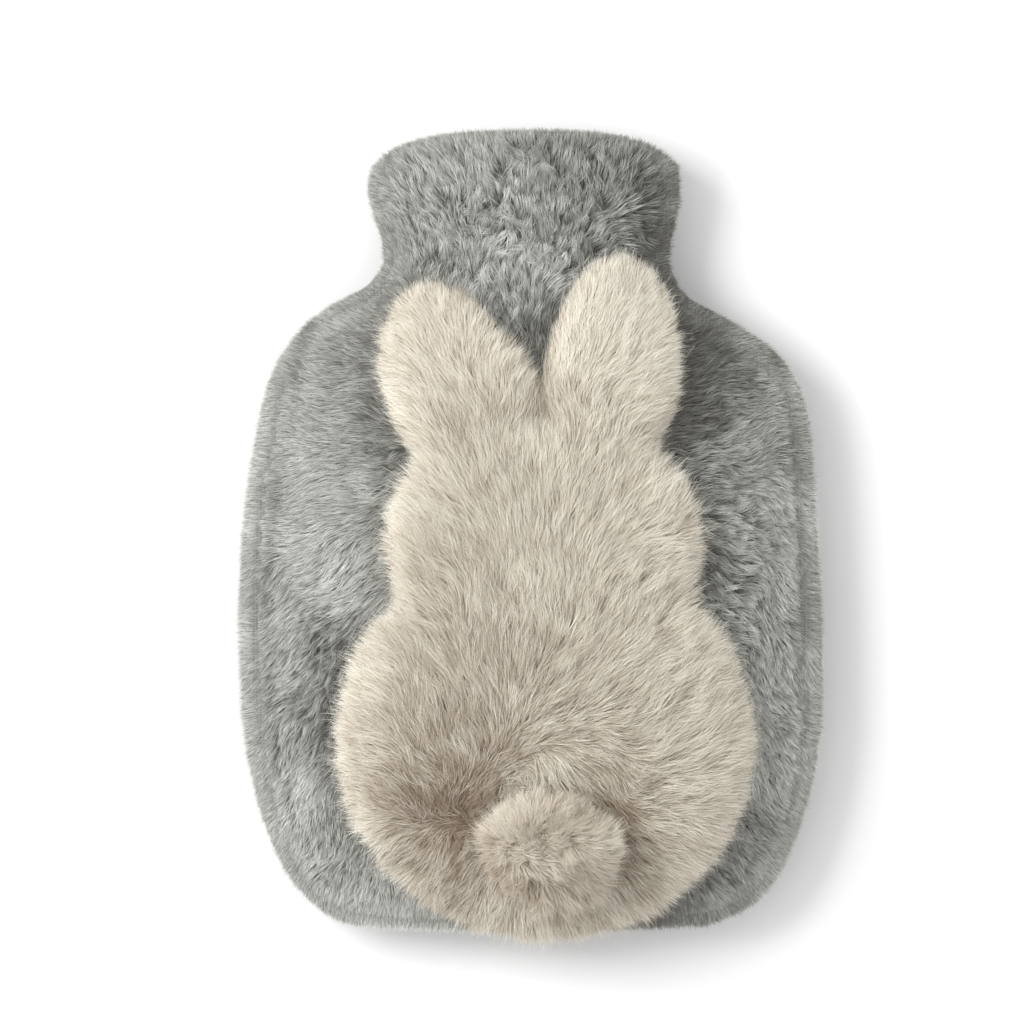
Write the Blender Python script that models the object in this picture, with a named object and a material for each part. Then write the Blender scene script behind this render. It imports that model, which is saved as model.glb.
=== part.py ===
"""A plush hot water bottle cover that lies on its back, with a fur rabbit sewn on its front.

Sizes in the tables are millimetres; MM turns them into metres. +Z is up. Seen from above,
+X is to the right and +Y points to the neck. The origin is under the middle of the cover.
"""

import math

import bmesh
import bpy
import numpy as np
from mathutils import Vector
from mathutils.bvhtree import BVHTree

MM = 0.001

# Cloth: a knitted backing with its pile. Each solid reaches to the tips of the pile.
WALL = 7.5
SEAM_HEIGHT = 19.0
SEAM_GAP = 0.3

# The bag, in sections from its bottom to its mouth. left and right are where its two panels
# are sewn, front is how far the front rises over that seam, and back how far the back falls.
SECTIONS = (
    # y, left, right, front, back
    (-139.0, -57.0, 55.0, 31.0, 19.0),
    (-135.8, -71.5, 70.0, 31.0, 19.0),
    (-126.0, -84.5, 84.5, 31.0, 19.0),
    (-109.0, -94.5, 94.3, 31.0, 19.0),
    (-85.0, -101.8, 101.4, 31.0, 19.0),
    (-55.0, -105.2, 104.4, 31.0, 19.0),
    (-20.0, -105.8, 103.4, 31.0, 19.0),
    (12.0, -103.6, 101.8, 31.0, 19.0),
    (38.0, -99.2, 99.4, 31.0, 19.0),
    (56.0, -95.0, 95.0, 30.0, 18.5),
    (69.0, -87.5, 84.0, 27.5, 17.5),
    (77.5, -79.5, 69.5, 25.5, 16.5),
    (84.5, -68.0, 56.5, 23.0, 15.5),
    (91.5, -55.5, 49.8, 21.5, 14.8),
    (100.0, -53.0, 48.2, 20.5, 14.2),
    (113.0, -57.0, 51.4, 20.0, 13.8),
    (126.0, -60.2, 53.2, 18.5, 13.2),
    (133.9, -57.4, 52.0, 14.5, 12.5),
)
BOTTOM_BULGE = 1.8
BOTTOM_BULGE_REACH = 40.0
MOUTH_ARCH = 12.0
MOUTH_ARCH_REACH = 60.0
MOUTH_ARCH_POWER = 3.2

# The front's rim is a soft roll over the bottle's edge, with a trough inside it at the sides.
RIM_RADIUS = 9.0
CROWN_START = 10.5
CROWN_WIDTH = 66.0
CROWN_POWER = 2.5
TROUGH_DEPTH = 2.0
TROUGH_AT = 11.0
TROUGH_WIDTH = 2.8
TROUGH_LOW_END = -105.0
TROUGH_HIGH_END = 65.0
TROUGH_FADE = 10.0
# The back rolls down from the seam over this many times its depth, and is flat inside that.
BACK_ROLL = 1.25

FRONT_CELLS = (28, 40)
BACK_CELLS = (20, 30)
SEAM_CELLS = (240, 480)
SIDE_CROWDING = 1.9
BOTTOM_CROWDING = 1.25

# The rabbit is cut in one piece. Its outline is these ovals, run together.
OVALS = (
    # x, y, half width, half length, tilt to the left in degrees
    (4.6, -74.4, 76.5, 71.2, 0.0),  # body
    (3.6, -1.4, 58.7, 46.3, 0.0),  # head
    (-28.5, 56.5, 24.0, 39.5, 17.0),  # left ear
    (28.8, 62.7, 24.2, 39.0, -4.0),  # right ear
)
OVAL_BLEND = 2.5
RABBIT_CELL = 6.8
RABBIT_GAP = 0.9
RABBIT_EDGE = 3.0
RABBIT_THICKNESS = 11.0
RABBIT_ROUNDING = 14.0
# Past the bag's rim the rabbit's pile hangs as high as the rim is this far in from the seam.
OVERHANG_FROM_SEAM = 5.0
OVERHANG_STEP = 0.5

# The tail is a wound pompom, with its underside on the rabbit.
TAIL_MIDDLE = (6.1, -110.0)
TAIL_HALF_WIDTH = 29.5
TAIL_HALF_LENGTH = 22.0
TAIL_HEIGHT = 25.0
TAIL_UNDERCUT = 8.0
TAIL_GAP = 0.6
TAIL_CELLS = (22, 12)

GREY_PILE = (0.27, 0.27, 0.255)
CREAM_PILE = (0.58, 0.51, 0.42)
TAIL_PILE = (0.50, 0.43, 0.36)
PILE_ROUGHNESS = 0.9

RAY_HEIGHT = 1.0
DOWN = Vector((0.0, 0.0, -1.0))


def clear_scene():
    for leftover in list(bpy.data.objects):
        bpy.data.objects.remove(leftover)


def pile_material(name, colour):
    material = bpy.data.materials.new(name)
    material.use_nodes = True
    shader = material.node_tree.nodes["Principled BSDF"]
    shader.inputs["Base Color"].default_value = (*colour, 1.0)
    shader.inputs["Roughness"].default_value = PILE_ROUGHNESS
    shader.inputs["Metallic"].default_value = 0.0
    return material


def smooth_through(rows, steps):
    """Points on a smooth curve through the rows, with this many steps from each row to the next."""
    rows = np.array(rows)
    knots = np.vstack([2 * rows[0] - rows[1], rows, 2 * rows[-1] - rows[-2]])
    t = np.linspace(0.0, 1.0, steps, endpoint=False)[:, None]
    spans = []
    for a, b, c, d in zip(knots, knots[1:], knots[2:], knots[3:]):
        bend = (c - a) * t + (2 * a - 5 * b + 4 * c - d) * t**2 + (3 * b - a - 3 * c + d) * t**3
        spans.append(b + bend / 2)
    return np.vstack([*spans, rows[-1:]])


def section_rows(count):
    """Sections at count + 1 places along the bag's left side, closer together at its bottom."""
    fine = smooth_through(SECTIONS, 12)
    y, left = fine[:, 0], fine[:, 1]
    along = np.concatenate([[0.0], np.cumsum(np.hypot(np.diff(y), np.diff(left)))])
    places = along[-1] * np.linspace(0.0, 1.0, count + 1) ** BOTTOM_CROWDING
    return np.column_stack([np.interp(places, along, column) for column in fine.T])


def side_shares(count):
    """Shares of the bag's half width from -1 to 1, closer together at its sides."""
    even = np.linspace(-1.0, 1.0, count + 1)
    return np.sign(even) * (1.0 - (1.0 - np.abs(even)) ** SIDE_CROWDING)


def bag_plan(cells):
    """The x and y of a grid that fills the bag's outline, and the section of each of its rows."""
    rows = section_rows(cells[1])
    y, left, right = (rows[:, [column]] for column in range(3))
    share = side_shares(cells[0])[None, :]
    x = (left + right) / 2 + share * (right - left) / 2
    low = np.clip(1.0 - (y - y[0]) / BOTTOM_BULGE_REACH, 0.0, 1.0)
    high = np.clip(1.0 - (y[-1] - y) / MOUTH_ARCH_REACH, 0.0, 1.0)
    bulge = BOTTOM_BULGE * low * (1.0 - share**2)
    arch = MOUTH_ARCH * high * (1.0 - np.abs(share) ** MOUTH_ARCH_POWER)
    return x, y - bulge + arch, rows


def seam_line():
    """Points close together along the seam: down the left side, over the bottom, up the right."""
    x, y, _ = bag_plan(SEAM_CELLS)
    plan = np.stack([x, y], axis=2)
    return np.vstack([plan[::-1, 0], plan[0, 1:-1], plan[:, -1]])


def from_seam(x, y):
    """How far each point is from the seam."""
    seam = seam_line()
    starts = seam[:-1]
    spans = np.diff(seam, axis=0)
    squares = (spans**2).sum(axis=1)
    nearest = []
    for point in np.column_stack([np.ravel(x), np.ravel(y)]):
        share = np.clip(((point - starts) * spans).sum(axis=1) / squares, 0.0, 1.0)
        away = point - starts - share[:, None] * spans
        nearest.append(np.hypot(away[:, 0], away[:, 1]).min())
    return np.reshape(nearest, np.shape(x))


def quarter_round(inside, reach):
    """From 0 at the edge to 1 at reach, upright at the edge and level at reach."""
    left_over = 1.0 - np.clip(inside / reach, 0.0, 1.0)
    return np.sqrt(1.0 - left_over**2)


def front_rise(inside, y, height):
    """The front's height over the seam: a rim roll, a trough at the sides and a broad crown."""
    rim = RIM_RADIUS * quarter_round(inside, RIM_RADIUS)
    share = np.clip((inside - CROWN_START) / CROWN_WIDTH, 0.0, 1.0)
    crown = (height - RIM_RADIUS) * (1.0 - (1.0 - share) ** CROWN_POWER)
    low_fade = np.clip((y - TROUGH_LOW_END) / TROUGH_FADE, 0.0, 1.0)
    high_fade = np.clip((TROUGH_HIGH_END - y) / TROUGH_FADE, 0.0, 1.0)
    trough = TROUGH_DEPTH * np.exp(-(((inside - TROUGH_AT) / TROUGH_WIDTH) ** 2))
    return rim + crown - trough * low_fade * high_fade


def outward_normals(surface, upwards):
    """Each point's direction out of the bag, which at the seam lies in the seam's plane."""
    normals = upwards * np.cross(np.gradient(surface, axis=1), np.gradient(surface, axis=0))
    normals[:, [0, -1], 2] = 0.0
    normals[0, :, 2] = 0.0
    for corner, next_column in ((0, 1), (-1, -2)):
        normals[0, corner] = normals[1, corner] + normals[0, next_column]
    return normals / np.linalg.norm(normals, axis=2, keepdims=True)


def wall_points(x, y, seam_z, rise, upwards):
    """The outer points of a panel, and the inner points a wall's thickness inside them."""
    outer = np.stack([x, y, seam_z + upwards * rise], axis=2)
    inner = outer - WALL * outward_normals(outer, upwards)
    # The panel's face along the seam is flat, so that the two panels meet all along it.
    inner[..., 2] = seam_z + upwards * np.maximum(upwards * (inner[..., 2] - seam_z), 0.0)
    return outer.reshape(-1, 3), inner.reshape(-1, 3)


def grid_in_rows(cells):
    """A flat grid of cells with its points in order: each row from left to right, upwards."""
    grid = bmesh.new()
    bmesh.ops.create_grid(grid, x_segments=cells[0], y_segments=cells[1], size=1.0)
    grid.verts.ensure_lookup_table()
    return grid


def make_closed(sheet, outer, inner):
    """Puts the sheet on the outer points and its copy on the inner ones, and joins their rims."""
    points = sheet.verts[:]
    for point, place in zip(points, outer, strict=True):
        point.co = place * MM
    copied = bmesh.ops.duplicate(sheet, geom=points + sheet.edges[:] + sheet.faces[:])
    for point, place in zip(points, inner, strict=True):
        copied["vert_map"][point].co = place * MM
    bmesh.ops.bridge_loops(sheet, edges=[edge for edge in sheet.edges if edge.is_boundary])
    bmesh.ops.triangulate(sheet, faces=sheet.faces)
    bmesh.ops.recalc_face_normals(sheet, faces=sheet.faces)


def finished_piece(name, shape, material):
    mesh = bpy.data.meshes.new(name)
    shape.to_mesh(mesh)
    shape.free()
    mesh.shade_smooth()
    mesh.set_sharp_from_angle(angle=math.radians(50.0))
    mesh.materials.append(material)
    piece = bpy.data.objects.new(name, mesh)
    bpy.context.scene.collection.objects.link(piece)
    return piece


def make_front_panel(material):
    x, y, rows = bag_plan(FRONT_CELLS)
    rise = front_rise(from_seam(x, y), y, rows[:, [3]])
    outer, inner = wall_points(x, y, SEAM_HEIGHT + SEAM_GAP, rise, 1.0)
    shape = grid_in_rows(FRONT_CELLS)
    make_closed(shape, outer, inner)
    return finished_piece("front_panel", shape, material)


def make_back_panel(material):
    x, y, rows = bag_plan(BACK_CELLS)
    depth = np.minimum(rows[:, [4]], SEAM_HEIGHT)
    fall = depth * quarter_round(from_seam(x, y), BACK_ROLL * depth)
    outer, inner = wall_points(x, y, SEAM_HEIGHT, fall, -1.0)
    shape = grid_in_rows(BACK_CELLS)
    make_closed(shape, outer, inner)
    return finished_piece("back_panel", shape, material)


def top_of(piece):
    """A function that gives the piece's height at a point seen from above, or None beside it."""
    corners = [vert.co for vert in piece.data.vertices]
    faces = [face.vertices for face in piece.data.polygons]
    tree = BVHTree.FromPolygons(corners, faces)

    def height(x, y):
        hit = tree.ray_cast(Vector((x * MM, y * MM, RAY_HEIGHT)), DOWN)[0]
        return None if hit is None else hit.z / MM

    return height


def rabbit_inside(x, y):
    """About how far a point is inside the rabbit's outline, and below 0 outside it."""
    total = 0.0
    for middle_x, middle_y, half_width, half_length, tilt in OVALS:
        turn = math.radians(tilt)
        across = (x - middle_x) * math.cos(turn) + (y - middle_y) * math.sin(turn)
        along = (y - middle_y) * math.cos(turn) - (x - middle_x) * math.sin(turn)
        radius = math.hypot(across / half_width, along / half_length)
        slope = math.hypot(across / half_width**2, along / half_length**2)
        inside = (1.0 - radius) * radius / max(slope, 1e-6)
        total += math.exp(min(inside / OVAL_BLEND, 40.0))
    return OVAL_BLEND * math.log(total)


def onto_outline(x, y):
    """The point of the rabbit's outline that is nearest, by a few steps down the slope."""
    step = 0.01
    for _ in range(6):
        inside = rabbit_inside(x, y)
        slope_x = (rabbit_inside(x + step, y) - inside) / step
        slope_y = (rabbit_inside(x, y + step) - inside) / step
        square = slope_x**2 + slope_y**2
        x -= inside * slope_x / square
        y -= inside * slope_y / square
    return x, y


def rabbit_plan():
    """A flat mesh of even cells that fills the rabbit's outline."""
    half_x = max(abs(oval[0]) + oval[2] for oval in OVALS) + RABBIT_CELL
    half_y = max(abs(oval[1]) + oval[3] for oval in OVALS) + RABBIT_CELL
    cells = (math.ceil(2 * half_x / RABBIT_CELL), math.ceil(2 * half_y / RABBIT_CELL))
    plan = grid_in_rows(cells)
    for vert in plan.verts:
        vert.co = (vert.co.x * half_x, vert.co.y * half_y, 0.0)
    outside = []
    for face in plan.faces:
        middle = face.calc_center_median()
        if rabbit_inside(middle.x, middle.y) < 0.2 * RABBIT_CELL:
            outside.append(face)
    bmesh.ops.delete(plan, geom=outside, context="FACES")
    for vert in plan.verts:
        if vert.is_boundary:
            vert.co.x, vert.co.y = onto_outline(vert.co.x, vert.co.y)
    return plan


def rabbit_seat(front, x, y):
    """The height of the front under the rabbit, and of its rim where the rabbit hangs over it."""
    height = top_of(front)
    seats = []
    for point_x, point_y in zip(x, y):
        while height(point_x, point_y) is None or from_seam(point_x, point_y) < OVERHANG_FROM_SEAM:
            to_middle = OVERHANG_STEP / math.hypot(point_x, point_y)
            point_x -= point_x * to_middle
            point_y -= point_y * to_middle
        seats.append(height(point_x, point_y))
    return np.array(seats)


def make_rabbit(front, material):
    plan = rabbit_plan()
    x, y = np.array([(vert.co.x, vert.co.y) for vert in plan.verts]).T
    seat = rabbit_seat(front, x, y) + RABBIT_GAP
    inside = np.array([rabbit_inside(*place) for place in zip(x, y)])
    body = (RABBIT_THICKNESS - RABBIT_EDGE) * quarter_round(np.maximum(inside, 0.0), RABBIT_ROUNDING)
    top = np.column_stack([x, y, seat + RABBIT_EDGE + body])
    make_closed(plan, top, np.column_stack([x, y, seat]))
    return finished_piece("rabbit", plan, material)


def make_tail(rabbit, material):
    height = top_of(rabbit)
    ball = bmesh.new()
    bmesh.ops.create_uvsphere(ball, u_segments=TAIL_CELLS[0], v_segments=TAIL_CELLS[1], radius=1.0)
    for vert in ball.verts:
        x = TAIL_MIDDLE[0] + TAIL_HALF_WIDTH * vert.co.x
        y = TAIL_MIDDLE[1] + TAIL_HALF_LENGTH * vert.co.y
        over_seat = TAIL_GAP + TAIL_UNDERCUT
        over_seat += vert.co.z * (TAIL_HEIGHT - TAIL_UNDERCUT if vert.co.z > 0.0 else TAIL_UNDERCUT)
        vert.co = Vector((x, y, height(x, y) + over_seat)) * MM
    bmesh.ops.triangulate(ball, faces=ball.faces)
    return finished_piece("tail", ball, material)


def centre_over_origin(pieces):
    """Moves the pieces so that the origin is under the middle of their common box."""
    corners = np.array([vert.co for piece in pieces for vert in piece.data.vertices])
    low, high = corners.min(axis=0), corners.max(axis=0)
    shift = Vector((-(low[0] + high[0]) / 2, -(low[1] + high[1]) / 2, -low[2]))
    for piece in pieces:
        for vert in piece.data.vertices:
            vert.co += shift


def main():
    clear_scene()
    grey = pile_material("grey_pile", GREY_PILE)
    front = make_front_panel(grey)
    back = make_back_panel(grey)
    rabbit = make_rabbit(front, pile_material("cream_pile", CREAM_PILE))
    tail = make_tail(rabbit, pile_material("tail_pile", TAIL_PILE))
    centre_over_origin([front, back, rabbit, tail])


main()
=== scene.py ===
# %% [markdown]
# # A fur cover for a hot water bottle
# The cover is a bag of grey fur cloth that lies on its back. A rabbit of cream fur, seen from
# behind, is sewn on its front, with a pompom for a tail.
#
# Fur is the whole look of this object, so most of this script makes hair. Each hair is a thin,
# tapered ribbon of real geometry. A bump on a smooth surface would be quicker, but it has no
# ragged outline, no depth, and no shadow between the tufts.

# %% The frame
import math

import bmesh
import bpy
import numpy as np
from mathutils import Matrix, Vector
from mathutils.bvhtree import BVHTree
from mathutils.kdtree import KDTree


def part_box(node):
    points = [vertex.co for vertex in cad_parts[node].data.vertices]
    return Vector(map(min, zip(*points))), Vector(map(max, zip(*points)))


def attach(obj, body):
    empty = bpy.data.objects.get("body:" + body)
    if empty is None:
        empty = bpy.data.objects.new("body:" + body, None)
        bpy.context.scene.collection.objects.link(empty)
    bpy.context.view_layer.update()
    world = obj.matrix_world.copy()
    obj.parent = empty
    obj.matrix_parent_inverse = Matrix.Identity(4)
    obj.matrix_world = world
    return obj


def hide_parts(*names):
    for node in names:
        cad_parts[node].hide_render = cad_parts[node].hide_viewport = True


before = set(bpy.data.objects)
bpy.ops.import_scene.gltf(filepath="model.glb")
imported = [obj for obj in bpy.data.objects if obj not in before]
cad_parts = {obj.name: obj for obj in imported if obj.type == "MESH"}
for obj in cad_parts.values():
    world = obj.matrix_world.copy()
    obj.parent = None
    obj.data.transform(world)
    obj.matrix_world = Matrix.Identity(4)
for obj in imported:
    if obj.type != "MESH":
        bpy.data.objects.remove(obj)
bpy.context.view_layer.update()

MM = 0.001
print("nodes:", sorted(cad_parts))

# %% [markdown]
# Places that are read off the photograph are kept as its pixels, in short tables. It looks
# straight down, so one scale turns a pixel into metres anywhere on the cover.

# %% Places in the photograph
PIXEL = 0.356 * MM
MIDDLE_PIXEL = (531.0, 535.5)


def at_pixel(pixel_x, pixel_y):
    """The x and y in metres of a place in the photograph."""
    x = (np.asarray(pixel_x, float) - MIDDLE_PIXEL[0]) * PIXEL
    y = (MIDDLE_PIXEL[1] - np.asarray(pixel_y, float)) * PIXEL
    return x, y


print("top left of the view in mm:", [round(float(value) / MM) for value in at_pixel(0, 0)])

# %% [markdown]
# The camera comes first, so that each later step can be looked at from the right place. A very
# long lens from far above keeps the sides of the bag upright, as they are in the photograph.

# %% Camera
LENS = 400.0
SENSOR = 36.0
VIEW_WIDTH = 1024 * PIXEL
VIEW_HEIGHT = 25.0 * MM

camera = bpy.data.objects.new("camera", bpy.data.cameras.new("camera"))
bpy.context.scene.collection.objects.link(camera)
camera.data.lens = LENS
camera.data.sensor_width = SENSOR
camera.data.clip_end = 50.0
view_x, view_y = at_pixel(512, 512)
camera.location = (view_x, view_y, VIEW_HEIGHT + VIEW_WIDTH * LENS / SENSOR)
bpy.context.scene.camera = camera
print("camera height in m:", round(camera.location.z, 2))

# %% [markdown]
# The floor is a plain white card. One large lamp from the upper left gives the soft shadow on
# the right, and a white sky fills that shadow.

# %% Floor and light
FLOOR_SIZE = 8.0
SKY_STRENGTH = 0.90
KEY_POWER = 19.0
KEY_SIZE = 0.9
KEY_PLACE = (-1.05, 0.45, 1.15)


def plain_material(name, colour, roughness):
    material = bpy.data.materials.new(name)
    material.use_nodes = True
    shader = material.node_tree.nodes["Principled BSDF"]
    shader.inputs["Base Color"].default_value = (*colour, 1.0)
    shader.inputs["Roughness"].default_value = roughness
    return material


def new_piece(name, mesh, material):
    """An object at the origin, with its place in its mesh."""
    mesh.materials.clear()
    mesh.materials.append(material)
    piece = bpy.data.objects.new(name, mesh)
    bpy.context.scene.collection.objects.link(piece)
    return piece


def mesh_of(name, shape):
    mesh = bpy.data.meshes.new(name)
    shape.to_mesh(mesh)
    shape.free()
    return mesh


card = bmesh.new()
bmesh.ops.create_grid(card, x_segments=1, y_segments=1, size=FLOOR_SIZE / 2)
floor = new_piece("floor", mesh_of("floor", card), plain_material("white_card", (0.93,) * 3, 0.9))

world = bpy.data.worlds.new("white_sky")
world.use_nodes = True
sky = world.node_tree.nodes["Background"].inputs
sky["Color"].default_value = (1.0, 1.0, 1.0, 1.0)
sky["Strength"].default_value = SKY_STRENGTH
bpy.context.scene.world = world

key = bpy.data.objects.new("key_lamp", bpy.data.lights.new("key_lamp", "AREA"))
key.data.energy = KEY_POWER
key.data.size = KEY_SIZE
key.location = KEY_PLACE
key.rotation_mode = "QUATERNION"
key.rotation_quaternion = (-Vector(KEY_PLACE)).to_track_quat("-Z", "Y")
bpy.context.scene.collection.objects.link(key)
bpy.context.scene.view_settings.view_transform = "Standard"
print("key lamp at", [round(value, 2) for value in key.location])

# %% [markdown]
# ## Backing
# Fur cloth is a thin knitted backing that carries its pile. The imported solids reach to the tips
# of the pile, so the backing lies deeper. A solid has an outer side and an inner side, with a
# narrow edge between them and sharp corners on both sides of that edge. So the faces can be
# gathered side by side without crossing a sharp corner, which finds the two large sides.

# %% Sides of a solid
WELD = 0.001 * MM
SHARP = math.radians(50.0)


def welded_copy(node):
    """The node's own triangles, joined where they touch."""
    shape = bmesh.new()
    shape.from_mesh(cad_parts[node].data)
    bmesh.ops.remove_doubles(shape, verts=shape.verts, dist=WELD)
    shape.normal_update()
    shape.verts.index_update()
    shape.faces.index_update()
    return shape


def smooth_regions(shape):
    """Lists of faces that meet without a sharp corner, the longest lists first."""
    left = set(shape.faces)
    regions = []
    while left:
        region = {left.pop()}
        border = list(region)
        while border:
            face = border.pop()
            for edge in face.edges:
                for other in edge.link_faces:
                    if other in left and edge.calc_face_angle(0.0) < SHARP:
                        left.discard(other)
                        region.add(other)
                        border.append(other)
        regions.append(sorted(region, key=lambda face: face.index))
    return sorted(regions, key=len, reverse=True)


def reach(faces):
    """How far apart the faces' middles are, from corner to corner of their box."""
    middles = np.array([face.calc_center_median() for face in faces])
    return np.linalg.norm(middles.max(axis=0) - middles.min(axis=0))


for name in ("front_panel", "back_panel"):
    trial = welded_copy(name)
    print(name, "sides have", [len(region) for region in smooth_regions(trial)[:4]], "faces")
    trial.free()

# %% [markdown]
# The backing shows only inside the mouth. It is knitted in fine ribs, and one node group makes
# them for every cloth: two waves cross each other, and their product is a small bump. The same
# product darkens the colour where the bump dips, as painted shade in the gaps between stitches.

# %% Knitted backing
RIB = 1.3 * MM
STITCH = 0.9 * MM
WAVES_A_METRE = 2.0 * math.pi / 20.0


def knit_group():
    group = bpy.data.node_groups.new("knit", "ShaderNodeTree")
    group.interface.new_socket("Stitches", in_out="OUTPUT", socket_type="NodeSocketFloat")
    nodes, links = group.nodes, group.links
    output = nodes.new("NodeGroupOutput")
    place = nodes.new("ShaderNodeTexCoord")
    product = nodes.new("ShaderNodeMath")
    product.operation = "MULTIPLY"
    for number, (axis, spacing) in enumerate((("X", RIB), ("Y", STITCH))):
        wave = nodes.new("ShaderNodeTexWave")
        wave.bands_direction = axis
        wave.inputs["Scale"].default_value = WAVES_A_METRE / spacing
        wave.inputs["Distortion"].default_value = 0.6
        links.new(place.outputs["Object"], wave.inputs["Vector"])
        links.new(wave.outputs["Fac"], product.inputs[number])
    links.new(product.outputs["Value"], output.inputs["Stitches"])
    return group


knit = knit_group()


def knitted_material(name, colour):
    material = plain_material(name, colour, 0.95)
    nodes, links = material.node_tree.nodes, material.node_tree.links
    shader = nodes["Principled BSDF"]
    stitches = nodes.new("ShaderNodeGroup")
    stitches.node_tree = knit
    # Painted shade: the colour darkens to 0.45 of itself where the stitches dip.
    mix = nodes.new("ShaderNodeMix")
    mix.data_type = "RGBA"
    mix.inputs[6].default_value = (*(0.45 * value for value in colour), 1.0)
    mix.inputs[7].default_value = (*colour, 1.0)
    bump = nodes.new("ShaderNodeBump")
    bump.inputs["Strength"].default_value = 0.5
    bump.inputs["Distance"].default_value = 0.3 * MM
    links.new(stitches.outputs["Stitches"], mix.inputs["Factor"])
    links.new(mix.outputs[2], shader.inputs["Base Color"])
    links.new(stitches.outputs["Stitches"], bump.inputs["Height"])
    links.new(bump.outputs["Normal"], shader.inputs["Normal"])
    return material


print("knit:", round(RIB / MM, 1), "mm ribs")

# %% [markdown]
# The solid's wall stands for the cloth and its pile together. On the flat parts the outer points
# move half way to the inner side, which leaves the outer half of the wall for the pile. On the
# steep sides they stay, because the short hair there lies down along the cloth. The inner points
# move outwards a little, and the mouth's edge moves back, since the pile stands past it.

# %% Panels
OUTER_MOVES = 0.50
STEEP_MOVES = 0.0
STEEPENS = (0.15, 0.80)
INNER_MOVES = 0.22
MOUTH_BACK = 0.8 * MM
MOUTH_END = (95.0 * MM, 145.0 * MM)


def smoother(mesh):
    """The same surface with each face cut up once and its corners rounded."""
    rough = bpy.data.objects.new("rough", mesh)
    bpy.context.scene.collection.objects.link(rough)
    rounding = rough.modifiers.new("rounding", "SUBSURF")
    rounding.levels = 1
    rounding.render_levels = 1
    seen = rough.evaluated_get(bpy.context.evaluated_depsgraph_get())
    smooth = bpy.data.meshes.new_from_object(seen)
    bpy.data.objects.remove(rough)
    bpy.data.meshes.remove(mesh)
    return smooth


def ease(value, low, high):
    """From 0 at low to 1 at high, level at both ends."""
    share = np.clip((value - low) / (high - low), 0.0, 1.0)
    return share * share * (3.0 - 2.0 * share)


def panel_backing(node):
    """The cloth of a panel, without its pile."""
    shape = welded_copy(node)
    outer, inner = sorted(smooth_regions(shape)[:2], key=reach, reverse=True)
    places = [vert.co.copy() for vert in shape.verts]
    upright = ease(np.array([1.0 - abs(vert.normal.z) for vert in shape.verts]), *STEEPENS)
    moves = OUTER_MOVES + (STEEP_MOVES - OUTER_MOVES) * upright
    trees = {}
    for side, faces in (("outer", outer), ("inner", inner)):
        corners = [[vert.index for vert in face.verts] for face in faces]
        trees[side] = BVHTree.FromPolygons(places, corners)
    inner_points = {vert for face in inner for vert in face.verts}
    for vert in shape.verts:
        if vert in inner_points:
            vert.co = vert.co.lerp(trees["outer"].find_nearest(vert.co)[0], INNER_MOVES)
        else:
            vert.co = vert.co.lerp(trees["inner"].find_nearest(vert.co)[0], moves[vert.index])
    for vert in shape.verts:
        vert.co.y -= MOUTH_BACK * float(ease(vert.co.y, *MOUTH_END))
    return smoother(mesh_of(node + "_cloth", shape))


grey_backing = knitted_material("grey_backing", (0.34, 0.34, 0.33))
front = new_piece("front_cloth", panel_backing("front_panel"), grey_backing)
back = new_piece("back_cloth", panel_backing("back_panel"), grey_backing)
for piece in (front, back):
    piece.data.shade_smooth()
    print(piece.name, len(piece.data.polygons), "faces")

# %% [markdown]
# ## Rabbit
# A maker cuts the rabbit in one piece and sews it down along its edge. Its outline is a few
# ovals run together: body, head and two ears. The cut edge lies well inside the outline that
# shows, because the long pile hangs over it.

# %% Rabbit outline
OVALS = (
    # x, y, half width, half length in mm, tilt to the left in degrees
    (4.6, -74.4, 76.5, 71.2, 0.0),  # body
    (4.6, -48.0, 69.0, 36.0, 0.0),  # hips
    (4.0, -20.0, 54.5, 24.0, 0.0),  # waist
    (3.8, -1.4, 58.8, 46.3, 0.0),  # head
    (-29.6, 54.2, 25.0, 38.0, 17.0),  # left ear
    (28.8, 62.7, 24.2, 39.0, -4.0),  # right ear
    (-21.5, 44.5, 26.5, 28.5, 0.0),  # left ear's foot
    (26.0, 50.0, 24.5, 31.0, 0.0),  # right ear's foot
)
OVAL_SHIFT = (0.69 * MM, -0.16 * MM)
OVAL_BLEND = 2.5 * MM


def inside_rabbit(x, y):
    """About how far each point is inside the rabbit's outline, and below 0 outside it."""
    total = 0.0
    for middle_x, middle_y, half_width, half_length, tilt in OVALS:
        away_x = x - OVAL_SHIFT[0] - middle_x * MM
        away_y = y - OVAL_SHIFT[1] - middle_y * MM
        turn = math.radians(tilt)
        across = (away_x * math.cos(turn) + away_y * math.sin(turn)) / (half_width * MM)
        along = (away_y * math.cos(turn) - away_x * math.sin(turn)) / (half_length * MM)
        radius = np.hypot(across, along)
        slope = np.hypot(across / (half_width * MM), along / (half_length * MM))
        inside = (1.0 - radius) * radius / np.maximum(slope, 1e-6)
        total = total + np.exp(np.minimum(inside / OVAL_BLEND, 40.0))
    return OVAL_BLEND * np.log(total)


print("the tail is", round(float(inside_rabbit(0.006, -0.110)) / MM), "mm inside the rabbit's edge")

# %% [markdown]
# The cloth starts as a flat grid. Its cells outside the cut are deleted, and the points along
# the cut step onto it. Then each point drops onto the front panel's cloth, and the middle rises
# a little way, as long-pile cloth does on top of another pile.

# %% Rabbit cloth
BODY_INSET = 4.5 * MM
EAR_INSET = 3.0 * MM
EAR_CUT = (25.0 * MM, 50.0 * MM)
RABBIT_CELL = 3.0 * MM
RABBIT_CLOTH = 1.6 * MM
RABBIT_GAP = 0.5 * MM
RABBIT_RISE = 6.0 * MM
RABBIT_ROUNDING = 16.0 * MM
RABBIT_BOX = ((-85.0 * MM, 90.0 * MM), (-150.0 * MM, 105.0 * MM))
# Solidify leaves the faces in no fixed order. Sorted this way, they give the same fur each time.
SORT_ALONG = Vector((1.0, 57.3, 3.1))


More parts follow.
